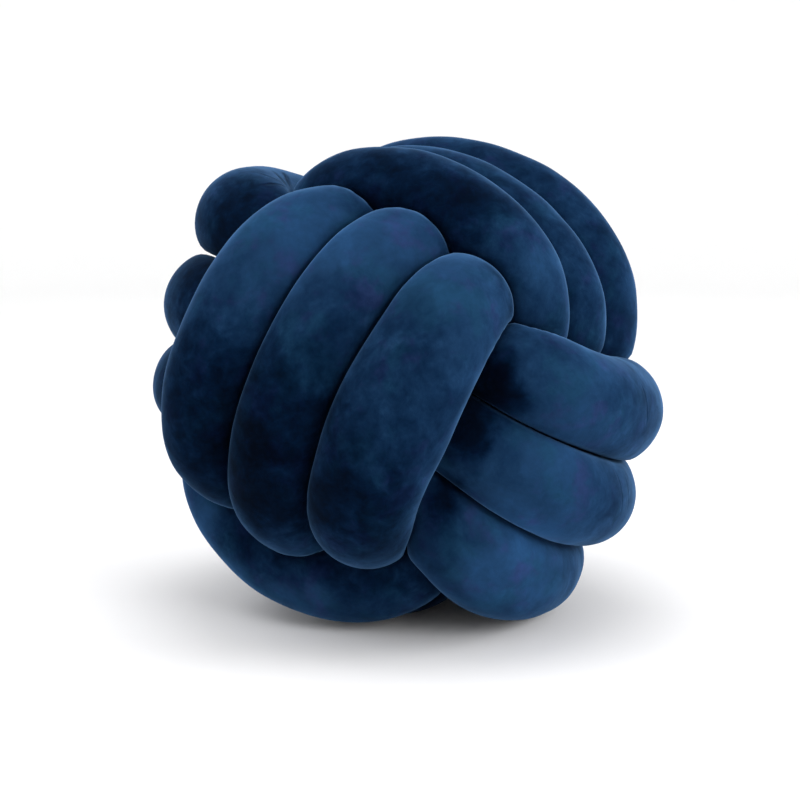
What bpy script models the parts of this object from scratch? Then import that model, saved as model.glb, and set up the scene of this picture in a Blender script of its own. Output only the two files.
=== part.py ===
"""Knot cushion: a ball wound from one long stuffed velvet tube.

The tube makes nine turns, three in each of three planes that stand square to one another. On every side
of the ball three strands lie side by side, over the strands of one band and under those of the other.
Between two turns of a band the tube moves over by one strand, and between two bands it passes through the
middle of the ball, where its two ends are joined as well. Both happen out of sight, under other strands.

A cross-section is the tube's round crown, pressed flat against each strand that it meets and against the
floor. Metres and degrees, +Z up. The ball lies on z = 0 with its box centred on the Z axis.
"""

import math

import bpy
import numpy as np
from mathutils import Euler

# The tube
CROWN = 0.0365  # from the tube's middle line to its free skin
INNER = 0.048  # how far the filling swells towards the empty middle of the ball
SKIN_GAP = 0.0005  # half of the gap between two strands where they start to press on each other
DEEP_GAP = 0.08  # how much that half gap grows with the depth to which a strand is pressed in
EASE = 0.003  # how softly the cloth turns from its crown into a pressed side
FOLD_SHARE = 0.85  # the inside of a bend stops short of the bend's own centre by this share

# The winding
DIVE_POWER = 7.9  # how squarely a strand turns down under the next band: 2 is soft, 12 is sharp
SHIFT_ANGLE = 42.0  # a strand moves over within this angle of the middle of its hidden crossing
CORE_SWEEP = 0.137  # how far a strand keeps its heading as it leaves a band for the middle of the ball
CORE_PULL = 0.028  # how far that passage is drawn in from the straight way

# Each band of three turns, in the order of the tube. The knot's own axes are 0 side, 1 top, 2 front.
# over: the axis at whose two ends the band lies outside. under: where it dives. beside: across its strands.
BANDS = {
    "front": {"over": 2, "under": 1, "beside": 0},
    "top": {"over": 1, "under": 0, "beside": 2},
    "side": {"over": 0, "under": 2, "beside": 1},
}

# One row for each turn, in the order of the tube. reach: radius over the side. dip: depth of the hidden
# crossing. place, tuck: offset along the beside axis, over and under. lean, slant: how far that offset
# grows towards the over and the under end. spin: degrees about the beside axis. rise, drift: the whole
# turn's shift along the over and the under axis.
TURN_COLUMNS = ("band", "reach", "dip", "place", "tuck", "lean", "slant", "spin", "rise", "drift")
TURNS = (
    ("front", 0.141, 0.079, 0.057, 0.042, -0.005, -0.001, 2.0, 0.000, 0.002),
    ("front", 0.141, 0.096, -0.004, 0.008, -0.008, -0.001, -2.0, 0.001, 0.003),
    ("front", 0.131, 0.087, -0.061, -0.036, -0.009, 0.001, -0.5, 0.009, 0.002),
    ("top", 0.128, 0.082, 0.059, 0.037, 0.005, 0.001, 0.0, -0.001, -0.003),
    ("top", 0.133, 0.091, 0.002, -0.001, 0.006, 0.001, 5.5, 0.001, -0.006),
    ("top", 0.136, 0.102, -0.055, -0.040, 0.006, -0.001, -0.5, 0.013, -0.005),
    ("side", 0.143, 0.081, 0.055, 0.045, -0.005, 0.005, -0.5, -0.004, 0.001),
    ("side", 0.146, 0.093, -0.006, 0.008, -0.003, 0.007, -5.0, 0.003, 0.000),
    ("side", 0.134, 0.085, -0.066, -0.032, -0.006, 0.002, -3.5, 0.001, -0.004),
)

# How the ball lies: the knot's own axes turned about X, then Y, then Z, and its middle above the floor
LIE_DEGREES = (80.6, 22.4, -25.2)
MIDDLE_HEIGHT = 0.159

# Where the filling is packed fuller or thinner, as the ball lies: a place on the middle line, measured from
# the middle of the knot, and how much wider the free skin is there
FULLER = (
    ((-0.007, -0.150, 0.004), 0.0036),
    ((-0.102, 0.046, 0.113), 0.0048),
    ((-0.084, -0.036, 0.103), -0.0026),
    ((-0.130, -0.030, 0.002), -0.0026),
    ((0.073, -0.081, 0.084), -0.0020),
    ((0.068, -0.090, -0.111), 0.0030),
    ((-0.002, -0.071, -0.110), -0.0020),
    ((-0.078, -0.045, -0.107), 0.0016),
    ((0.139, 0.009, 0.024), 0.0052),
    ((-0.078, 0.090, 0.100), 0.0080),
    ((-0.135, -0.010, 0.060), 0.0016),
    ((-0.117, -0.030, 0.090), 0.0030),
    ((0.148, -0.030, -0.018), 0.0014),
)
FULLER_SPREAD = 0.042

# The mesh
STEPS_PER_TURN = 360  # points on the middle line before it is spaced out evenly
CORE_STEPS = 80
STATIONS = 370  # cross-sections along the whole tube
SIDES = 16  # points round a cross-section
BEND_CLOSENESS = 0.030  # a bend of this radius gets its cross-sections twice as close
NEIGHBOUR_FROM = 0.130  # along the tube, where a strand starts to count as another one
FLAT_WITHIN = 1e-7  # skin this close to the floor lies on it

# The cloth
VELVET_BLUE = (0.010, 0.027, 0.075, 1.0)
VELVET_ROUGHNESS = 0.85


def smooth_step(share):
    """0 to 1 with no corner at either end."""
    return share**3 * (share * (6.0 * share - 15.0) + 10.0)


def loop_points(turn, angles):
    """Points of one whole turn, in the knot's own axes. Angle 0 is over the band's first side."""
    axes = BANDS[turn["band"]]
    sine = np.maximum(np.abs(np.sin(angles)), 1e-6)
    radius = (turn["reach"] ** -DIVE_POWER + (turn["dip"] / sine) ** -DIVE_POWER) ** (-1.0 / DIVE_POWER)
    over = radius * np.cos(angles + np.radians(turn["spin"]))
    under = radius * np.sin(angles + np.radians(turn["spin"]))
    hidden = np.sin(angles) ** 2
    hidden = hidden * hidden * (3.0 - 2.0 * hidden)
    beside = turn["place"] * (1.0 - hidden) + turn["tuck"] * hidden
    beside += turn["lean"] * over / turn["reach"] + turn["slant"] * under / turn["dip"]
    points = np.zeros((len(angles), 3))
    points[:, axes["over"]] = over + turn["rise"]
    points[:, axes["under"]] = under + turn["drift"]
    points[:, axes["beside"]] = beside
    return points


def core_passage(leaving, arriving, inward):
    """The way from one band to the next through the middle of the ball. Both ends are (point, heading)."""
    share = (np.arange(CORE_STEPS) / CORE_STEPS)[:, None]
    start, start_heading = leaving
    end, end_heading = arriving
    points = (2.0 * share**3 - 3.0 * share**2 + 1.0) * start
    points += (share**3 - 2.0 * share**2 + share) * CORE_SWEEP * start_heading
    points += (3.0 * share**2 - 2.0 * share**3) * end
    points += (share**3 - share**2) * CORE_SWEEP * end_heading
    return points + 16.0 * share**2 * (1.0 - share) ** 2 * CORE_PULL * inward


def point_and_heading(turn, angle):
    pair = loop_points(turn, np.array([angle - 0.0005, angle + 0.0005]))
    heading = pair[1] - pair[0]
    return pair.mean(axis=0), heading / np.linalg.norm(heading)


def middle_line():
    """The tube's middle line through all nine turns and back to its start."""
    turns = [dict(zip(TURN_COLUMNS, row)) for row in TURNS]
    half_shift = np.radians(SHIFT_ANGLE)
    first = half_shift - np.pi / 2.0
    last = 1.5 * np.pi - half_shift
    pieces = []
    for turn, following in zip(turns, turns[1:] + turns[:1]):
        steps = int(STEPS_PER_TURN * (last - first) / (2.0 * np.pi))
        pieces.append(loop_points(turn, np.linspace(first, last, steps, endpoint=False)))
        if following["band"] == turn["band"]:
            steps = int(STEPS_PER_TURN * half_shift / np.pi)
            share = np.arange(steps) / steps
            angles = last + 2.0 * half_shift * share
            moved = smooth_step(share)[:, None]
            pieces.append(loop_points(turn, angles) * (1.0 - moved) + loop_points(following, angles) * moved)
        else:
            inward = np.eye(3)[BANDS[turn["band"]]["beside"]]
            leaving = point_and_heading(turn, last)
            arriving = point_and_heading(following, first)
            pieces.append(core_passage(leaving, arriving, inward))
    return np.concatenate(pieces)


def step_lengths(points):
    return np.linalg.norm(np.roll(points, -1, axis=0) - points, axis=1)


def headings_and_bends(points):
    """At each point of a closed line: the unit heading, and the bend as a vector of one over its radius."""
    ahead = step_lengths(points)
    heading = np.roll(points, -1, axis=0) - np.roll(points, 1, axis=0)
    heading /= np.linalg.norm(heading, axis=1)[:, None]
    bend = np.roll(heading, -1, axis=0) - np.roll(heading, 1, axis=0)
    return heading, bend / (ahead + np.roll(ahead, 1))[:, None]


def spaced_out(points, count):
    """The same closed line in count points, closer together where it bends."""
    bend = np.linalg.norm(headings_and_bends(points)[1], axis=1)
    weight = step_lengths(points) * (1.0 + BEND_CLOSENESS * bend)
    along = np.concatenate([[0.0], np.cumsum(weight)])
    closed = np.vstack([points, points[:1]])
    places = np.arange(count) / count * along[-1]
    return np.stack([np.interp(places, along, closed[:, axis]) for axis in range(3)], axis=1)


def soft_least(values):
    """The least of the stacked values, eased where two of them are nearly the same."""
    least = values.min(axis=0)
    return least - EASE * np.log(np.exp((least - values) / EASE).sum(axis=0))


def free_radius(points):
    radius = np.full(len(points), CROWN)
    for place, wider in FULLER:
        radius += wider * np.exp(-((points - np.array(place)) ** 2).sum(axis=1) / FULLER_SPREAD**2)
    return radius


def pressed_distance(station, own_radius, rays, line, line_radius):
    """How far each ray of one section runs before it meets another strand, halfway if both are as full."""
    to_others = line - station
    distance = np.linalg.norm(to_others, axis=1)
    own = np.argmin(distance)
    along = np.concatenate([[0.0], np.cumsum(step_lengths(line))])
    apart = np.abs(along[:-1] - along[own])
    apart = np.minimum(apart, along[-1] - apart)
    near = (apart > NEIGHBOUR_FROM) & (distance < 2.1 * INNER)
    towards = np.maximum(rays @ to_others[near].T, 1e-9)
    share = distance[near] ** 2 + own_radius**2 - line_radius[near] ** 2
    halfway = (share / (2.0 * towards)).min(axis=1, initial=1.0)
    return halfway - SKIN_GAP - DEEP_GAP * np.clip(CROWN - halfway, 0.0, CROWN)


def cross_sections(middle, line):
    """The skin's points, station by station. Angle 0 of a section faces away from the middle of the ball."""
    heading, bend = headings_and_bends(middle)
    outward = middle - (middle * heading).sum(axis=1)[:, None] * heading
    outward /= np.linalg.norm(outward, axis=1)[:, None]
    sideways = np.cross(heading, outward)
    angles = 2.0 * np.pi * np.arange(SIDES) / SIDES
    rays = np.cos(angles)[None, :, None] * outward[:, None] + np.sin(angles)[None, :, None] * sideways[:, None]

    inwardness = np.clip(-np.cos(angles), 0.0, 1.0)
    own_radius = free_radius(middle)
    line_radius = free_radius(line)
    free = own_radius[:, None] + (INNER - CROWN) * inwardness**2 * (3.0 - 2.0 * inwardness)
    pressed = np.stack([pressed_distance(*section, line, line_radius) for section in zip(middle, own_radius, rays)])
    into_bend = np.einsum("ijk,ik->ij", rays, bend)
    folded = FOLD_SHARE / np.maximum(into_bend, 1e-3)
    radius = soft_least(np.stack([free, pressed, folded]))

    height = middle[:, 2, None] + MIDDLE_HEIGHT
    falling = np.maximum(-rays[:, :, 2], 1e-9)
    radius = np.minimum(radius, height / falling)
    return middle[:, None] + rays * radius[:, :, None]


def tube_mesh(name, skin):
    stations, sides = skin.shape[:2]
    station, side = np.meshgrid(np.arange(stations), np.arange(sides), indexing="ij")
    next_station = (station + 1) % stations
    next_side = (side + 1) % sides
    corners = ((station, side), (station, next_side), (next_station, next_side), (next_station, side))
    faces = np.stack([row * sides + column for row, column in corners], axis=-1).reshape(-1, 4)
    mesh = bpy.data.meshes.new(name)
    mesh.from_pydata(skin.reshape(-1, 3).tolist(), [], faces.tolist())
    mesh.shade_smooth()
    return mesh


def velvet():
    material = bpy.data.materials.new("blue_velvet")
    material.use_nodes = True
    shader = material.node_tree.nodes["Principled BSDF"]
    shader.inputs["Base Color"].default_value = VELVET_BLUE
    shader.inputs["Roughness"].default_value = VELVET_ROUGHNESS
    shader.inputs["Metallic"].default_value = 0.0
    return material


def knotted_tube():
    """The ball as it lies: one object whose own origin is the middle of the knot."""
    lie = np.array(Euler([math.radians(angle) for angle in LIE_DEGREES]).to_matrix())
    line = middle_line() @ lie.T
    skin = cross_sections(spaced_out(line, STATIONS), line)
    resting = skin[:, :, 2] < FLAT_WITHIN - MIDDLE_HEIGHT
    skin[resting, 2] = -MIDDLE_HEIGHT
    tube = bpy.data.objects.new("knotted_tube", tube_mesh("knotted_tube", skin))
    tube.data.materials.append(velvet())
    box_middle = (skin.min(axis=(0, 1)) + skin.max(axis=(0, 1))) / 2.0
    tube.location = (-box_middle[0], -box_middle[1], MIDDLE_HEIGHT)
    return tube


def main():
    for old in list(bpy.data.objects):
        bpy.data.objects.remove(old, do_unlink=True)
    bpy.context.scene.collection.objects.link(knotted_tube())


main()
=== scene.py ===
"""The knot cushion as the photograph shows it: one long stuffed tube of blue velvet, wound into a ball.

The tube follows the same winding as the solid, with a closer mesh and soft lumps of stuffing. Its velvet has
small folds in relief at the ends of three strands; its colour has painted light and shade in lighter and
darker patches, painted shade in the pressed creases and folds, and a painted sheen at its edges.
All lengths in the room are in metres.
"""

import math

import bpy
import numpy as np
from mathutils import Euler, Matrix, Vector, noise


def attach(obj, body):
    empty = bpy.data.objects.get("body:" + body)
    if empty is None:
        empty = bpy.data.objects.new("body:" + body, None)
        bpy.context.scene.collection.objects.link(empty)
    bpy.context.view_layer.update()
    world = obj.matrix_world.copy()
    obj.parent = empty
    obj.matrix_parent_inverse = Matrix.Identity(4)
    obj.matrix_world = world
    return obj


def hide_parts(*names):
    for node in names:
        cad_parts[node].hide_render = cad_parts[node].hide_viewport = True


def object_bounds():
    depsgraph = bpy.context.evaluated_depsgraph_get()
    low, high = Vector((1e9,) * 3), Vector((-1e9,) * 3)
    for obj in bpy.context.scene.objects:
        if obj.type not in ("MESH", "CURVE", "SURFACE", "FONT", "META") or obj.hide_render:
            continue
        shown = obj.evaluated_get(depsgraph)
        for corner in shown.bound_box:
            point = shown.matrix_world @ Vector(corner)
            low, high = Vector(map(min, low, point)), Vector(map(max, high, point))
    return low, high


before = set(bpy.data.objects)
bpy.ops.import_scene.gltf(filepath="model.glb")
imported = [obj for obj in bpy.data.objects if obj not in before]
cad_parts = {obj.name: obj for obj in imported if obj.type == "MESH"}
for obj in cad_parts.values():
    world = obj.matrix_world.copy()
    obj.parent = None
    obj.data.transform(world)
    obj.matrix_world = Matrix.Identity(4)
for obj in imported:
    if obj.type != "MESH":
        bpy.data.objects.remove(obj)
cad_low, cad_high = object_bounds()

# The tube
CROWN = 0.0365  # from the tube's middle line to its free skin
INNER = 0.048  # how far the filling swells towards the empty middle of the ball
SKIN_GAP = 0.0002  # half of the gap between two strands that press on each other
DEEP_GAP = 0.08  # how much that half gap grows with the depth to which a strand is pressed in
EASE = 0.0022  # how softly the cloth turns from its crown into a pressed side
FOLD_SHARE = 0.85  # the inside of a bend reaches this share of the way to the bend's own centre
LEAST_BEND = 0.001  # a stretch that bends less than this, as one over its radius, counts as straight
NEIGHBOUR_FROM = 0.130  # stretches at least this far apart along the tube can press on each other
LOOK_AROUND = 2.1 * INNER  # how far round a station the strands that press on it are looked for
NOT_PRESSED = 1.0  # the distance that stands for a side on which nothing presses
TINY = 1e-9  # keeps a division away from nought

# The stuffing's soft lumps: how many to a metre, and how far the free skin stands in or out
LUMPS = (
    (17.0, 0.00099),
    (41.0, 0.00055),
)

# The winding. Its sizes were fitted to the outlines of the strands in the photograph and then rounded.
DIVE_POWER = 7.9  # how squarely a strand turns down under the next band: 2 is soft, 12 is sharp
SHIFT_ANGLE = 42.0  # a strand moves over within this angle of the middle of its hidden crossing
CORE_SWEEP = 0.137  # how far a strand keeps its heading as it leaves a band for the middle of the ball
CORE_PULL = 0.028  # how far that passage is drawn in from the straight way
LEAST_SINE = 1e-6  # keeps the dip from being divided by nought
HEADING_ANGLE = 0.0005  # a heading is taken between two points this far to either side, in radians

# Each band of three turns: the axis on whose two sides it shows, the axis on whose two sides it passes
# under the next band, and the axis along which its turns lie side by side. The knot's own axes are
# 0 side, 1 top, 2 front.
BANDS = {
    "front": {"over": 2, "under": 1, "beside": 0},
    "top": {"over": 1, "under": 0, "beside": 2},
    "side": {"over": 0, "under": 2, "beside": 1},
}

# One row for each turn, in the order of the tube
# reach and dip: how far its middle line lies from the knot's middle, where it shows and where it is under
# place and tuck: where it lies beside its two neighbours, where it shows and where it is under
# lean and slant: how far that place moves to the one side of the ball and back on the other, for each
# spin: how far the turn is rotated in its own plane, in degrees
# rise and drift: how far the whole turn is moved along its over axis and along its under axis
TURN_COLUMNS = ("band", "reach", "dip", "place", "tuck", "lean", "slant", "spin", "rise", "drift")
TURNS = (
    ("front", 0.141, 0.079, 0.057, 0.042, -0.005, -0.001, 2.0, 0.000, 0.002),
    ("front", 0.141, 0.096, -0.004, 0.008, -0.008, -0.001, -2.0, 0.001, 0.003),
    ("front", 0.131, 0.087, -0.061, -0.036, -0.009, 0.001, -0.5, 0.009, 0.002),
    ("top", 0.128, 0.082, 0.059, 0.037, 0.005, 0.001, 0.0, -0.001, -0.003),
    ("top", 0.133, 0.091, 0.002, -0.001, 0.006, 0.001, 5.5, 0.001, -0.006),
    ("top", 0.136, 0.102, -0.055, -0.040, 0.006, -0.001, -0.5, 0.013, -0.005),
    ("side", 0.143, 0.081, 0.055, 0.045, -0.005, 0.005, -0.5, -0.004, 0.001),
    ("side", 0.146, 0.093, -0.006, 0.008, -0.003, 0.007, -5.0, 0.003, 0.000),
    ("side", 0.134, 0.085, -0.066, -0.032, -0.006, 0.002, -3.5, 0.001, -0.004),
)
LIE_DEGREES = (80.6, 22.4, -25.2)  # how the knot is turned about the room's axes to lie as it does
MIDDLE_HEIGHT = 0.159  # from the floor to the knot's middle

# Where the filling is packed fuller or thinner, as the ball lies: a place on the middle line, measured from
# the middle of the knot, and how much wider the free skin is there
FULLER = (
    ((-0.007, -0.150, 0.004), 0.0036),
    ((-0.102, 0.046, 0.113), 0.0048),
    ((-0.084, -0.036, 0.103), -0.0026),
    ((-0.130, -0.030, 0.002), -0.0026),
    ((0.073, -0.081, 0.084), -0.0020),
    ((0.068, -0.090, -0.111), 0.0030),
    ((-0.002, -0.071, -0.110), -0.0020),
    ((-0.078, -0.045, -0.107), 0.0016),
    ((0.139, 0.009, 0.024), 0.0052),
    ((-0.078, 0.090, 0.100), 0.0080),
    ((-0.135, -0.010, 0.060), 0.0016),
    ((-0.117, -0.030, 0.090), 0.0030),
    ((0.148, -0.030, -0.018), 0.0014),
)
FULLER_SPREAD = 0.042  # at this distance from such a place, a little over a third of its widening is left

# The mesh
STEPS_PER_TURN = 360
CORE_STEPS = 80
STATIONS = 1760
SIDES = 56
BEND_CLOSENESS = 0.016  # a bend of this radius gets its cross-sections twice as close
HIDDEN_RADIUS = 0.085  # within this distance of the knot's middle, a middle line is inside the ball
HIDDEN_BORDER = 0.030  # over this much further out, the stations come to lie at their full closeness
HIDDEN_SPACING = 0.45  # how closely the stations lie inside the ball, next to those outside
OUTER_CLOSENESS = 0.35  # how much closer the points of a section lie on its outer side

# Painted light and shade by heading: how much lighter the pile is painted for a heading along each axis of
# the room, as a power of e, so that runs of the tube heading one way look lit and those heading the other
# way look shaded
HEADING_PAINTED_LIGHT = (-0.10, 0.25, 0.10)

# Patches of painted light and shade: lighter top ends of the strands and lighter right-hand strands, darker
# lower parts, painted shadows beside the third front strand, along the top strand and under the front
# strands, painted shade on the underside by the floor, and darker left lobes. Each row: a place on the skin,
# how far from it the patch has faded to about a quarter, and how much lighter or darker it is painted, as a
# power of e
PAINTED_LIGHT_AND_SHADE_PATCHES = (
    ("first front strand, upper part", (-0.105, -0.114, 0.263), 0.060, 0.45),
    ("first front strand, top end", (-0.054, -0.101, 0.288), 0.045, 0.40),
    ("first front strand, lower part", (-0.124, -0.118, 0.149), 0.085, -0.95),
    ("second front strand, top end", (-0.012, -0.123, 0.274), 0.050, 0.40),
    ("second front strand, lower part", (-0.079, -0.143, 0.128), 0.070, -0.75),
    ("third front strand, top end", (0.042, -0.149, 0.241), 0.050, 0.35),
    ("third front strand, middle", (0.006, -0.178, 0.178), 0.070, -0.15),
    ("third front strand, lower part", (-0.028, -0.160, 0.100), 0.050, -0.70),
    ("top strand, left end", (-0.040, -0.055, 0.315), 0.035, -0.60),
    ("top strand, over the second front strand", (-0.008, -0.073, 0.307), 0.032, -0.70),
    ("top strand, over the third front strand", (0.029, -0.090, 0.292), 0.034, -0.80),
    ("top strand, beside the third front strand", (0.068, -0.110, 0.235), 0.032, -0.80),
    ("top strand, right end", (0.095, -0.097, 0.255), 0.030, 0.60),
    ("upper right strand", (0.121, -0.128, 0.167), 0.055, 0.40),
    ("middle right strand", (0.100, -0.134, 0.116), 0.055, 0.45),
    ("lower right strand", (0.077, -0.113, 0.052), 0.055, 0.90),
    ("upper right strand, beside the third front strand", (0.055, -0.132, 0.188), 0.022, -1.20),
    ("upper right strand, beside it lower down", (0.052, -0.129, 0.175), 0.022, -1.10),
    ("middle right strand, beside the third front strand", (0.042, -0.131, 0.162), 0.021, -1.20),
    ("middle right strand, beside it lower down", (0.036, -0.136, 0.147), 0.018, -1.00),
    ("lower right strand, beside the third front strand", (0.027, -0.120, 0.110), 0.016, -1.10),
    ("lower right strand, beside it lower down", (0.020, -0.125, 0.098), 0.014, -0.90),
    ("upper left lobe", (-0.125, -0.035, 0.280), 0.070, -1.10),
    ("middle left lobe", (-0.165, -0.025, 0.220), 0.060, -0.55),
    ("lower left lobe", (-0.170, -0.030, 0.160), 0.055, -1.10),
    ("bottom strand, left edge", (-0.139, -0.041, 0.078), 0.022, 0.35),
    ("bottom strand, outer side", (-0.110, -0.050, 0.032), 0.028, 0.45),
    ("bottom strand, outer side further on", (-0.072, -0.073, 0.025), 0.028, 0.45),
    ("bottom strand, under the first front strand", (-0.122, -0.055, 0.064), 0.022, -0.80),
    ("bottom strand, left", (-0.099, -0.067, 0.050), 0.020, -0.70),
    ("bottom strand, under the second front strand", (-0.075, -0.076, 0.054), 0.020, -0.60),
    ("bottom strand, middle", (-0.045, -0.087, 0.052), 0.022, -0.70),
    ("bottom strand, under the third front strand", (-0.015, -0.094, 0.048), 0.022, -0.60),
    ("bottom strand, right", (0.010, -0.091, 0.042), 0.020, -0.40),
    ("second bottom strand, by the surface", (0.007, -0.021, 0.001), 0.060, -1.60),
)

# A patch starts to fade at PATCH_CORE / PATCH_STEEPNESS of that distance, and has gone at
# (1 + PATCH_CORE) / PATCH_STEEPNESS of it
PATCH_STEEPNESS = 0.75
PATCH_CORE = 0.10

# A patch stays off a strand unless the cosine of the angle between their headings is over the first of
# these, and is at full strength on it when it is more by the second
SAME_STRAND_FROM = 0.3
SAME_STRAND_RANGE = 0.4

# The edge of a patch is ragged: how many waves to a metre, and how far each moves it. The seed says where
# the waves' pattern begins, so that it is the same each time.
PATCH_WAVES = (
    (42.0, 0.014),
    (130.0, 0.008),
)
WAVES_SEED = 6
FULL_WAVES_FROM = 0.045  # a patch that reaches less far than this has smaller waves, in proportion

# Strokes in the pile: how many to a metre, the detail, roughness and twist of their pattern, and how strong
# they are where the tone, with its painted light and shade, is light and where it is dark
STROKES = (
    ("patches", 34.0, 5.0, 0.60, 0.5, 1.3, 3.2),
    ("ragged strokes", 105.0, 4.0, 0.62, 0.6, 0.5, 2.0),
    ("fine strokes", 260.0, 3.0, 0.60, 0.0, 0.3, 0.7),
)
STROKES_DARK_TONE = -0.7
STROKES_LIGHT_TONE = 0.5

# Small folds in the velvet: the two ends of each, how far it reaches to either side and how deep it is
FOLDS = (
    ("upper left lobe, up the side", (-0.083, 0.000, 0.300), (-0.096, 0.028, 0.313), 0.0032, 0.0030),
    ("upper left lobe, towards the front", (-0.083, -0.010, 0.301), (-0.098, -0.026, 0.303), 0.0032, 0.0026),
    ("upper left lobe, at the back", (-0.081, 0.012, 0.301), (-0.086, 0.046, 0.314), 0.0040, 0.0034),
    ("upper left lobe, between them", (-0.083, -0.006, 0.301), (-0.104, -0.004, 0.313), 0.0026, 0.0018),
    ("upper right strand, end", (0.160, -0.074, 0.176), (0.162, -0.073, 0.146), 0.0022, 0.0012),
    ("middle right strand, end", (0.142, -0.081, 0.118), (0.147, -0.077, 0.086), 0.0020, 0.0009),
    ("middle right strand, end, outer", (0.149, -0.065, 0.110), (0.152, -0.064, 0.086), 0.0022, 0.0011),
)
FOLD_DEEP_TO = 0.35  # a fold keeps its depth to this share of its half length from its middle
FOLD_GONE_FROM = 1.15  # and has run out at this share

# The colours of the velvet
PILE = (0.0034, 0.0150, 0.0440, 1.0)
PILE_VIOLET = (0.0050, 0.0128, 0.0450, 1.0)
PILE_TEAL = (0.0031, 0.0163, 0.0430, 1.0)

# Patches in which another colour shows: how many to a metre, the two levels of their pattern between which
# its share changes, and its share at each
DYE_PATCHES = (
    (PILE_VIOLET, 40.0, (0.52, 0.66, 0.0, 1.0)),
    (PILE_TEAL, 30.0, (0.36, 0.50, 1.0, 0.0)),
)

# Darker pile is bluer and lighter pile is warmer: the tint at a low tone and at a high one. Then painted
# shade: how far a strand is pressed in where the painted shade in its crease is darkest, and the darkening,
# as a power of e, for the bottom of a pressed crease and for each metre of a fold's depth.
LOW_TONE = -1.0
HIGH_TONE = 0.5
LOW_TINT = (0.40, 0.88, 1.04, 1.0)
HIGH_TINT = (1.28, 1.09, 0.94, 1.0)
CREASE_SHADE_DEPTH = 0.012
CREASE_PAINTED_SHADE = 0.9
FOLD_PAINTED_SHADE = 260.0

# Painted sheen: where the pile is seen edge-on, its colour is painted lighter. The colour, how narrow the
# band is, as a power, how much of the colour shows at the very edge, and how far it follows the tone, as a
# power
PAINTED_SHEEN_EDGES = (
    ("soft edge", (0.0160, 0.0620, 0.1600, 1.0), 3.0, 0.5, 0.8),
    ("thin rim", (0.0600, 0.1300, 0.2500, 1.0), 7.0, 1.0, 0.5),
)

# The relief of the pile: how many to a metre, the detail and roughness of their pattern, and their height
RELIEF = (
    ("brushed streaks", 120.0, 4.0, 0.6, 0.0010),
    ("tufts", 900.0, 3.0, 0.7, 0.0003),
)
RELIEF_STRENGTH = 0.30

# The studio
FLOOR_RADIUS = 2.4
CURVE_RADIUS = 1.2
CURVE_START = 0.1  # the first point of the curve after the flat floor, in radians
CURVE_STEPS = 14
WALL_TOP = 2.6
FLOOR_SIDES = 72
PAPER_GREY = (0.78, 0.78, 0.79, 1.0)
PAPER_WHITE = (0.94, 0.94, 0.94, 1.0)
GREY_WITHIN = 0.8  # the paper is grey within this distance of the middle of the floor
WHITE_FROM = 2.2  # and white from this distance on

# The lights: where each hangs, how wide it is and its power
LIGHTS = (
    ("right_front", (1.2, -1.5, 0.9), 0.9, 18.0),
    ("right_side", (1.8, 0.1, 0.6), 0.9, 20.0),
    ("left_side", (-1.8, 0.1, 0.6), 0.9, 4.0),
    ("overhead", (0.0, 0.0, 1.6), 1.2, 10.0),
    ("overhead_left", (-1.0, -0.2, 1.4), 0.9, 6.0),
)
LIGHTS_AIM = (0.0, 0.0, 0.12)
WORLD_STRENGTH = 0.90

# The camera, as the photograph was taken, fitted to the same outlines
IMAGE_SIZE = 800
SENSOR_WIDTH = 36.0  # in millimetres
CAMERA_DISTANCE = 1.2606  # from the knot's middle
CAMERA_ELEVATION = 8.76  # in degrees
FOCAL_PIXELS = 1755.9
IMAGE_MIDDLE = (402.0, 387.2)  # where the knot's middle is in the image, in pixels


# ---- the winding ----


def smooth_step(share):
    """0 up to a share of 0, 1 from a share of 1, and an even passage between them."""
    share = np.clip(share, 0.0, 1.0)
    return share**3 * (share * (6.0 * share - 15.0) + 10.0)


def loop_points(turn, angles):
    """The middle line of one turn. It shows round angles 0 and pi, and halfway between them it is under."""
    axes = BANDS[turn["band"]]
    sine = np.maximum(np.abs(np.sin(angles)), LEAST_SINE)
    radius = (turn["reach"] ** -DIVE_POWER + (turn["dip"] / sine) ** -DIVE_POWER) ** (-1.0 / DIVE_POWER)
    over = radius * np.cos(angles + np.radians(turn["spin"]))
    under = radius * np.sin(angles + np.radians(turn["spin"]))
    hidden = np.sin(angles) ** 2
    hidden = hidden * hidden * (3.0 - 2.0 * hidden)
    beside = turn["place"] * (1.0 - hidden) + turn["tuck"] * hidden
    beside += turn["lean"] * over / turn["reach"] + turn["slant"] * under / turn["dip"]
    points = np.zeros((len(angles), 3))
    points[:, axes["over"]] = over + turn["rise"]
    points[:, axes["under"]] = under + turn["drift"]
    points[:, axes["beside"]] = beside
    return points


def core_passage(leaving, arriving, inward):
    """The hidden way from one band to the next. It keeps the heading of both at its ends."""
    share = (np.arange(CORE_STEPS) / CORE_STEPS)[:, None]
    start, start_heading = leaving
    end, end_heading = arriving
    points = (2.0 * share**3 - 3.0 * share**2 + 1.0) * start
    points += (share**3 - 2.0 * share**2 + share) * CORE_SWEEP * start_heading
    points += (3.0 * share**2 - 2.0 * share**3) * end
    points += (share**3 - share**2) * CORE_SWEEP * end_heading

    # This bow is 0 at both ends and 1 halfway
    bow = 16.0 * share**2 * (1.0 - share) ** 2
    return points + bow * CORE_PULL * inward


def point_and_heading(turn, angle):
    pair = loop_points(turn, np.array([angle - HEADING_ANGLE, angle + HEADING_ANGLE]))
    heading = pair[1] - pair[0]
    return pair.mean(axis=0), heading / np.linalg.norm(heading)


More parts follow.
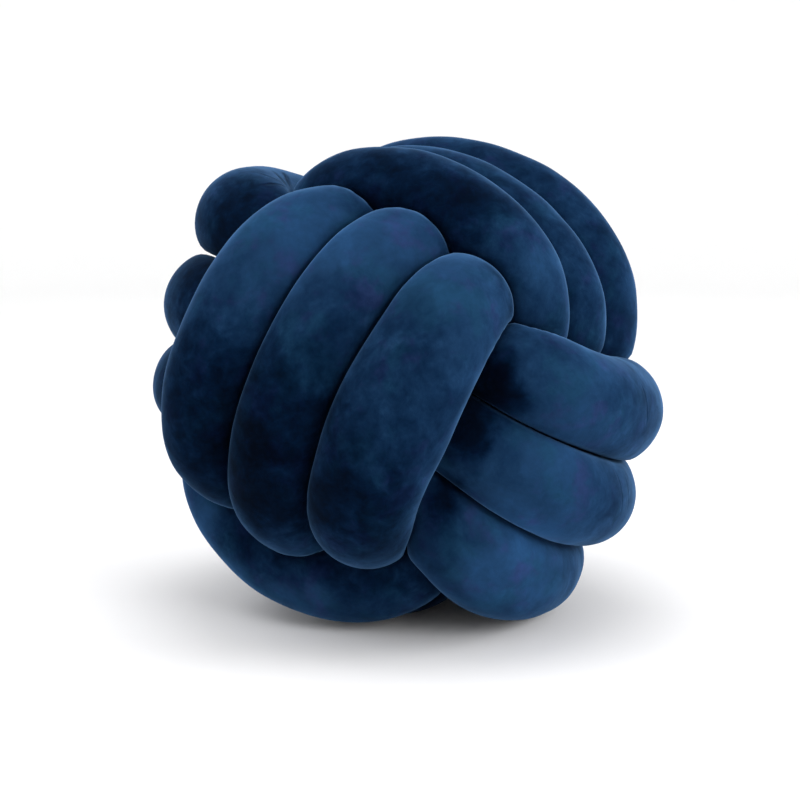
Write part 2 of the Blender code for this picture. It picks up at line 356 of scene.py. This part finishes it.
def middle_line():
    """The closed middle line of the whole tube. Between two turns of one band it moves over at the hidden
    crossing, and from the last turn of a band it goes through the middle of the ball to the next band."""
    turns = [dict(zip(TURN_COLUMNS, row)) for row in TURNS]
    half_shift = np.radians(SHIFT_ANGLE)
    first = half_shift - np.pi / 2.0
    last = 1.5 * np.pi - half_shift
    pieces = []
    for turn, following in zip(turns, turns[1:] + turns[:1]):
        steps = int(STEPS_PER_TURN * (last - first) / (2.0 * np.pi))
        pieces.append(loop_points(turn, np.linspace(first, last, steps, endpoint=False)))
        if following["band"] == turn["band"]:
            steps = int(STEPS_PER_TURN * half_shift / np.pi)
            share = np.arange(steps) / steps
            angles = last + 2.0 * half_shift * share
            moved = smooth_step(share)[:, None]
            pieces.append(loop_points(turn, angles) * (1.0 - moved) + loop_points(following, angles) * moved)
        else:
            # The last turn of a band lies low along the axis on which its turns lie side by side
            inward = np.eye(3)[BANDS[turn["band"]]["beside"]]
            leaving = point_and_heading(turn, last)
            arriving = point_and_heading(following, first)
            pieces.append(core_passage(leaving, arriving, inward))
    return np.concatenate(pieces)


def step_lengths(points):
    return np.linalg.norm(np.roll(points, -1, axis=0) - points, axis=1)


def headings_and_bends(points):
    """At each point of a closed line, its heading, and the way it bends with one over the radius."""
    ahead = step_lengths(points)
    heading = np.roll(points, -1, axis=0) - np.roll(points, 1, axis=0)
    heading /= np.linalg.norm(heading, axis=1)[:, None]
    bend = np.roll(heading, -1, axis=0) - np.roll(heading, 1, axis=0)
    return heading, bend / (ahead + np.roll(ahead, 1))[:, None]


def spaced_out(points, count):
    """Stations along a closed line, closer in its bends and thinner inside the ball."""
    bend = np.linalg.norm(headings_and_bends(points)[1], axis=1)
    outside = smooth_step((np.linalg.norm(points, axis=1) - HIDDEN_RADIUS) / HIDDEN_BORDER)
    weight = step_lengths(points) * (1.0 + BEND_CLOSENESS * bend)
    weight *= HIDDEN_SPACING + (1.0 - HIDDEN_SPACING) * outside
    along = np.concatenate([[0.0], np.cumsum(weight)])
    closed = np.vstack([points, points[:1]])
    places = np.arange(count) / count * along[-1]
    return np.stack([np.interp(places, along, closed[:, axis]) for axis in range(3)], axis=1)


# ---- the skin ----


def soft_least(values):
    """The least of the values, with a soft passage where two of them are nearly the same."""
    least = values.min(axis=0)
    return least - EASE * np.log(np.exp((least - values) / EASE).sum(axis=0))


def free_radius(points):
    radius = np.full(len(points), CROWN)
    for place, wider in FULLER:
        radius += wider * np.exp(-((points - np.array(place)) ** 2).sum(axis=1) / FULLER_SPREAD**2)
    return radius


def pressed_distance(station, own_radius, rays, line, line_radius, along):
    """How far the skin gets along each ray before it meets another strand that presses back as much."""
    to_others = line - station
    distance = np.linalg.norm(to_others, axis=1)
    own = np.argmin(distance)
    apart = np.abs(along[:-1] - along[own])
    apart = np.minimum(apart, along[-1] - apart)
    near = (apart > NEIGHBOUR_FROM) & (distance < LOOK_AROUND)
    towards = np.maximum(rays @ to_others[near].T, TINY)
    share = distance[near] ** 2 + own_radius**2 - line_radius[near] ** 2
    halfway = (share / (2.0 * towards)).min(axis=1, initial=NOT_PRESSED)
    return halfway - SKIN_GAP - DEEP_GAP * np.clip(CROWN - halfway, 0.0, CROWN)


def stuffing_lumps(middle, rays):
    """The filling isn't even: the free skin stands a little in or out, over lengths of some centimetres."""
    skin = (middle[:, None] + rays * CROWN).reshape(-1, 3)
    lumps = np.zeros(len(skin))
    for count, height in LUMPS:
        lumps += height * np.array([noise.noise(Vector(point) * count) for point in skin])
    return lumps.reshape(rays.shape[:2])


def cross_sections(middle, line):
    """The skin round each station, the angles of its points, and how far each point is pressed in, which
    sets the painted shade in the creases.
    """
    heading, bend = headings_and_bends(middle)
    outward = middle - (middle * heading).sum(axis=1)[:, None] * heading
    outward /= np.linalg.norm(outward, axis=1)[:, None]
    sideways = np.cross(heading, outward)
    even = 2.0 * np.pi * np.arange(SIDES) / SIDES
    angles = even - OUTER_CLOSENESS * np.sin(even)
    rays = np.cos(angles)[None, :, None] * outward[:, None]
    rays = rays + np.sin(angles)[None, :, None] * sideways[:, None]

    # The skin is free, or pressed by another strand, or folded on the inside of a bend
    inwardness = np.clip(-np.cos(angles), 0.0, 1.0)
    own_radius = free_radius(middle)
    line_radius = free_radius(line)
    free = own_radius[:, None] + (INNER - CROWN) * inwardness**2 * (3.0 - 2.0 * inwardness)
    free = free + stuffing_lumps(middle, rays)
    along = np.concatenate([[0.0], np.cumsum(step_lengths(line))])
    sections = zip(middle, own_radius, rays)
    pressed = np.stack([pressed_distance(*section, line, line_radius, along) for section in sections])
    into_bend = np.einsum("ijk,ik->ij", rays, bend)
    folded = FOLD_SHARE / np.maximum(into_bend, LEAST_BEND)
    radius = soft_least(np.stack([free, pressed, folded]))

    # The floor presses the underside flat
    height = middle[:, 2, None] + MIDDLE_HEIGHT
    falling = np.maximum(-rays[:, :, 2], TINY)
    radius = np.minimum(radius, height / falling)
    # How far each point is pressed in, as a share, for the painted shade in the creases
    painted_crease_shade = smooth_step((free - radius) / CREASE_SHADE_DEPTH)
    return middle[:, None] + rays * radius[:, :, None], angles, painted_crease_shade


def painted_light_and_shade_tone(skin, heading):
    """How light the pile is painted at each point: painted light and shade by its heading, and patches of
    painted light and shade.
    """
    # Painted light and shade by the tube's heading
    tone = np.broadcast_to((heading @ np.array(HEADING_PAINTED_LIGHT))[:, None], skin.shape[:2]).copy()
    points = [Vector(point) for point in skin.reshape(-1, 3)]
    noise.seed_set(WAVES_SEED)
    waves = np.zeros(skin.shape)
    for count, length in PATCH_WAVES:
        moves = np.array([noise.noise_vector(point * count) for point in points])
        waves += length * moves.reshape(skin.shape)
    # Patches of painted light and shade, with ragged edges
    for _, place, reach, change in PAINTED_LIGHT_AND_SHADE_PATCHES:
        place = np.array(place)
        station = np.argmin(np.linalg.norm(skin - place, axis=2).min(axis=1))
        same_strand = smooth_step((heading @ heading[station] - SAME_STRAND_FROM) / SAME_STRAND_RANGE)
        moved = skin + min(1.0, reach / FULL_WAVES_FROM) * waves
        apart = np.linalg.norm(moved - place, axis=2) / reach
        faded = smooth_step(apart * PATCH_STEEPNESS - PATCH_CORE)
        tone += change * same_strand[:, None] * (1.0 - faded)
    return tone


# ---- the tube ----


def tube_mesh(name, skin, angles, middle):
    """A closed tube of four-sided faces through the cross-sections."""
    stations, sides = skin.shape[:2]
    station, side = np.meshgrid(np.arange(stations), np.arange(sides), indexing="ij")
    next_station = (station + 1) % stations
    next_side = (side + 1) % sides
    corners = ((station, side), (station, next_side), (next_station, next_side), (next_station, side))
    faces = np.stack([row * sides + column for row, column in corners], axis=-1).reshape(-1, 4)
    mesh = bpy.data.meshes.new(name)
    mesh.from_pydata(skin.reshape(-1, 3).tolist(), [], faces.tolist())
    mesh.shade_smooth()

    # The map's first coordinate runs along the tube and its second round it, both in metres
    along = np.concatenate([[0.0], np.cumsum(step_lengths(middle))])
    around = np.append(angles, 2.0 * np.pi) * CROWN
    steps = ((0, 0), (0, 1), (1, 1), (1, 0))
    uv = [np.stack([along[station + ahead], around[side + over]], axis=-1) for ahead, over in steps]
    layer = mesh.uv_layers.new(name="along_and_around")
    layer.data.foreach_set("uv", np.stack(uv, axis=2).reshape(-1))
    return mesh


def add_values(mesh, name, values):
    layer = mesh.attributes.new(name, "FLOAT", "POINT")
    layer.data.foreach_set("value", np.asarray(values, dtype=np.float32).reshape(-1))


def knotted_tube():
    """The whole cushion, and the place of its middle in the room."""
    lie = np.array(Euler([math.radians(angle) for angle in LIE_DEGREES]).to_matrix())
    line = middle_line() @ lie.T
    middle = spaced_out(line, STATIONS)
    skin, angles, painted_crease_shade = cross_sections(middle, line)
    box_middle = (skin.min(axis=(0, 1)) + skin.max(axis=(0, 1))) / 2.0
    shift_x = (cad_low.x + cad_high.x) / 2 - box_middle[0]
    shift_y = (cad_low.y + cad_high.y) / 2 - box_middle[1]
    shift = np.array([shift_x, shift_y, MIDDLE_HEIGHT])
    mesh = tube_mesh("velvet_tube", skin + shift, angles, middle)
    heading = headings_and_bends(middle)[0]
    # The painted light and shade of the pile, and the painted shade in the pressed creases, go to the colour
    # as attributes
    add_values(mesh, "painted_light_and_shade", painted_light_and_shade_tone(skin + shift, heading))
    add_values(mesh, "painted_crease_shade", painted_crease_shade)
    mesh.materials.append(velvet(middle + shift))
    tube = bpy.data.objects.new("velvet_tube", mesh)
    bpy.context.scene.collection.objects.link(tube)
    return tube, Vector(shift)


# ---- materials ----


class Nodes:
    """Short calls for building one node material."""

    def __init__(self, name):
        self.material = bpy.data.materials.new(name)
        self.material.use_nodes = True
        self.tree = self.material.node_tree
        self.shader = self.tree.nodes["Principled BSDF"]

    def add(self, kind, **settings):
        node = self.tree.nodes.new(kind)
        for key, value in settings.items():
            setattr(node, key, value)
        return node

    def put(self, value, socket):
        if isinstance(value, bpy.types.NodeSocket):
            self.tree.links.new(value, socket)
        else:
            socket.default_value = value

    def noise(self, vector, scale, detail=4.0, roughness=0.6, distortion=0.0):
        node = self.add("ShaderNodeTexNoise")
        self.put(vector, node.inputs["Vector"])
        node.inputs["Scale"].default_value = scale
        node.inputs["Detail"].default_value = detail
        node.inputs["Roughness"].default_value = roughness
        node.inputs["Distortion"].default_value = distortion
        return node.outputs["Fac"]

    def span(self, value, low, high, to_low=0.0, to_high=1.0, kind="SMOOTHSTEP"):
        node = self.add("ShaderNodeMapRange", interpolation_type=kind)
        self.put(value, node.inputs["Value"])
        node.inputs["From Min"].default_value = low
        node.inputs["From Max"].default_value = high
        node.inputs["To Min"].default_value = to_low
        node.inputs["To Max"].default_value = to_high
        return node.outputs["Result"]

    def math(self, operation, first, second=0.0):
        node = self.add("ShaderNodeMath", operation=operation)
        self.put(first, node.inputs[0])
        self.put(second, node.inputs[1])
        return node.outputs[0]

    def mix(self, share, first, second, blend="MIX"):
        node = self.add("ShaderNodeMix", data_type="RGBA", blend_type=blend)
        self.put(share, node.inputs[0])
        self.put(first, node.inputs[6])
        self.put(second, node.inputs[7])
        return node.outputs[2]

    def scale(self, colour, factor):
        node = self.add("ShaderNodeVectorMath", operation="SCALE")
        if isinstance(colour, tuple):
            colour = colour[:3]
        self.put(colour, node.inputs[0])
        self.put(factor, node.inputs["Scale"])
        return node.outputs[0]

    def vector(self, operation, first, second):
        node = self.add("ShaderNodeVectorMath", operation=operation)
        self.put(first, node.inputs[0])
        self.put(second, node.inputs[1])
        return node.outputs["Value" if operation in ("DOT_PRODUCT", "DISTANCE") else "Vector"]

    def bump(self, height, distance, strength, normal=None):
        node = self.add("ShaderNodeBump")
        node.inputs["Distance"].default_value = distance
        node.inputs["Strength"].default_value = strength
        self.put(height, node.inputs["Height"])
        if normal is not None:
            self.put(normal, node.inputs["Normal"])
        return node.outputs["Normal"]


def dye(cloth, place):
    """The colour of the pile, a little more violet or a little more green from patch to patch."""
    colour = PILE
    for other_colour, count, levels in DYE_PATCHES:
        share = cloth.span(cloth.noise(place, count), *levels)
        colour = cloth.mix(share, colour, other_colour)
    return colour


def pile_strokes(cloth, place, painted_light_and_shade):
    """Small strokes in the pile, ragged where its tone, with its painted light and shade, is dark and soft
    where it is light.
    """
    dark = cloth.span(painted_light_and_shade, STROKES_DARK_TONE, STROKES_LIGHT_TONE, 1.0, 0.0, kind="LINEAR")
    strokes = 0.0
    for _, count, detail, roughness, twist, when_light, when_dark in STROKES:
        pattern = cloth.math("SUBTRACT", cloth.noise(place, count, detail, roughness, twist), 0.5)
        strength = cloth.span(dark, 0.0, 1.0, when_light, when_dark, kind="LINEAR")
        strokes = cloth.math("ADD", cloth.math("MULTIPLY", pattern, strength), strokes)
    return strokes


def fold_shape(cloth, place, start, end, outward, reach):
    """1 along the bottom of a short fold and 0 away from it."""
    halfway = (start + end) / 2.0
    half = (end - start).length / 2.0
    across = (end - start).cross(outward).normalized()
    offset = cloth.vector("DOT_PRODUCT", cloth.vector("SUBTRACT", place, tuple(halfway)), tuple(across))
    beside = cloth.span(cloth.math("ABSOLUTE", offset), 0.0, reach, 1.0, 0.0)
    distance = cloth.vector("DISTANCE", place, tuple(halfway))
    along = cloth.span(distance, FOLD_DEEP_TO * half, FOLD_GONE_FROM * half, 1.0, 0.0)
    return cloth.math("MULTIPLY", beside, along)


def fold_depth(cloth, place, middle):
    """How deep the small folds are at each place. Each faces away from the tube's middle line."""
    depth = 0.0
    for _, start, end, reach, deepest in FOLDS:
        start = Vector(start)
        end = Vector(end)
        halfway = (start + end) / 2.0
        nearest = middle[np.argmin(np.linalg.norm(middle - np.array(halfway), axis=1))]
        fold = fold_shape(cloth, place, start, end, halfway - Vector(nearest), reach)
        depth = cloth.math("ADD", cloth.math("MULTIPLY", fold, deepest), depth)
    return depth


def velvet(middle):
    """The cloth of the tube, whose middle line is given."""
    cloth = Nodes("blue_velvet")
    place = cloth.add("ShaderNodeTexCoord").outputs["Object"]
    painted_light_and_shade = cloth.add("ShaderNodeAttribute", attribute_name="painted_light_and_shade").outputs["Fac"]
    painted_crease_shade = cloth.add("ShaderNodeAttribute", attribute_name="painted_crease_shade").outputs["Fac"]
    depth = fold_depth(cloth, place, middle)

    # The tone, as a power of e: the painted light and shade of the pile and its strokes, with painted shade
    # in the pressed creases and in the folds
    tone = cloth.math("ADD", painted_light_and_shade, pile_strokes(cloth, place, painted_light_and_shade))
    # Painted shade in the pressed creases
    tone = cloth.math("SUBTRACT", tone, cloth.math("MULTIPLY", painted_crease_shade, CREASE_PAINTED_SHADE))
    # Painted shade in the folds
    tone = cloth.math("SUBTRACT", tone, cloth.math("MULTIPLY", depth, FOLD_PAINTED_SHADE))
    tint = cloth.mix(cloth.span(tone, LOW_TONE, HIGH_TONE, kind="LINEAR"), LOW_TINT, HIGH_TINT)
    lightness = cloth.math("POWER", math.e, tone)
    body = cloth.scale(cloth.mix(1.0, dye(cloth, place), tint, blend="MULTIPLY"), lightness)

    # Painted sheen: the colour is painted lighter towards the edges of the pile seen edge-on, in a soft band
    # and a thin rim
    facing = cloth.add("ShaderNodeLayerWeight")
    facing.inputs["Blend"].default_value = 0.5
    for _, colour, narrowness, most, follow in PAINTED_SHEEN_EDGES:
        edge = cloth.math("POWER", facing.outputs["Facing"], narrowness)
        lit = cloth.scale(colour, cloth.math("POWER", lightness, follow))
        body = cloth.mix(cloth.math("MULTIPLY", edge, most), body, lit)
    cloth.put(body, cloth.shader.inputs["Base Color"])

    normal = cloth.bump(cloth.math("SUBTRACT", 0.0, depth), 1.0, 1.0)
    for _, count, detail, roughness, height in RELIEF:
        pattern = cloth.noise(place, count, detail, roughness)
        normal = cloth.bump(pattern, height, RELIEF_STRENGTH, normal)
    cloth.put(normal, cloth.shader.inputs["Normal"])

    cloth.shader.inputs["Roughness"].default_value = 0.95
    cloth.shader.inputs["Specular IOR Level"].default_value = 0.02
    cloth.shader.inputs["Sheen Weight"].default_value = 0.04
    cloth.shader.inputs["Sheen Roughness"].default_value = 0.30
    cloth.shader.inputs["Sheen Tint"].default_value = (0.10, 0.40, 0.90, 1.0)
    return cloth.material


def studio_white():
    """White paper, a little greyer round the cushion."""
    paper = Nodes("studio_floor")
    place = paper.add("ShaderNodeTexCoord").outputs["Object"]
    away = paper.span(paper.vector("DISTANCE", place, (0.0, 0.0, 0.0)), GREY_WITHIN, WHITE_FROM)
    paper.put(paper.mix(away, PAPER_GREY, PAPER_WHITE), paper.shader.inputs["Base Color"])
    paper.shader.inputs["Roughness"].default_value = 0.8
    paper.shader.inputs["Specular IOR Level"].default_value = 0.1
    return paper.material


# ---- the studio ----


def floor_profile():
    """The floor from the rim of its flat part outwards: a round curve and a wall, as radius and height."""
    profile = [(FLOOR_RADIUS, 0.0)]
    for turn in np.linspace(CURVE_START, np.pi / 2, CURVE_STEPS):
        radius = FLOOR_RADIUS + CURVE_RADIUS * math.sin(turn)
        profile.append((radius, CURVE_RADIUS - CURVE_RADIUS * math.cos(turn)))
    return profile + [(FLOOR_RADIUS + CURVE_RADIUS, WALL_TOP)]


def studio_floor():
    """A pale floor that rises in a wide round curve on every side."""
    profile = floor_profile()
    around = 2 * np.pi * np.arange(FLOOR_SIDES) / FLOOR_SIDES
    points = [(0.0, 0.0, 0.0)]
    for radius, height in profile:
        points += [(radius * math.cos(angle), radius * math.sin(angle), height) for angle in around]
    faces = [(0, 1 + side, 1 + (side + 1) % FLOOR_SIDES) for side in range(FLOOR_SIDES)]
    for ring in range(len(profile) - 1):
        inner = 1 + ring * FLOOR_SIDES
        outer = inner + FLOOR_SIDES
        for side in range(FLOOR_SIDES):
            next_side = (side + 1) % FLOOR_SIDES
            faces.append((inner + side, outer + side, outer + next_side, inner + next_side))
    mesh = bpy.data.meshes.new("floor")
    mesh.from_pydata(points, [], faces)
    mesh.shade_smooth()
    mesh.materials.append(studio_white())
    floor = bpy.data.objects.new("floor", mesh)
    bpy.context.scene.collection.objects.link(floor)


def area_light(name, place, size, power):
    """A round light that faces the cushion."""
    light = bpy.data.lights.new(name, "AREA")
    light.shape = "DISK"
    light.size = size
    light.energy = power
    lamp = bpy.data.objects.new(name, light)
    lamp.location = place
    lamp.rotation_euler = (Vector(LIGHTS_AIM) - Vector(place)).to_track_quat("-Z", "Y").to_euler()
    bpy.context.scene.collection.objects.link(lamp)


def studio_camera(aim):
    elevation = math.radians(CAMERA_ELEVATION)
    data = bpy.data.cameras.new("camera")
    camera = bpy.data.objects.new("camera", data)
    camera.location = aim + CAMERA_DISTANCE * Vector((0.0, -math.cos(elevation), math.sin(elevation)))
    camera.rotation_euler = (math.pi / 2 - elevation, 0.0, 0.0)
    data.sensor_width = SENSOR_WIDTH
    data.lens = SENSOR_WIDTH * FOCAL_PIXELS / IMAGE_SIZE
    data.shift_x = -(IMAGE_MIDDLE[0] - IMAGE_SIZE / 2) / IMAGE_SIZE
    data.shift_y = (IMAGE_MIDDLE[1] - IMAGE_SIZE / 2) / IMAGE_SIZE
    data.clip_start = 0.05
    data.clip_end = 20.0
    bpy.context.scene.collection.objects.link(camera)
    bpy.context.scene.camera = camera


def studio_world():
    """Even white light from all round."""
    world = bpy.data.worlds.new("studio")
    world.use_nodes = True
    background = world.node_tree.nodes["Background"]
    background.inputs["Color"].default_value = (1.0, 1.0, 1.0, 1.0)
    background.inputs["Strength"].default_value = WORLD_STRENGTH
    bpy.context.scene.world = world


tube, aim = knotted_tube()
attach(tube, "root")
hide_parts("knotted_tube")

studio_floor()
studio_camera(aim)
for name, place, size, power in LIGHTS:
    area_light(name, place, size, power)
studio_world()
bpy.context.scene.view_settings.view_transform = "Standard"
bpy.context.scene.view_settings.look = "None"
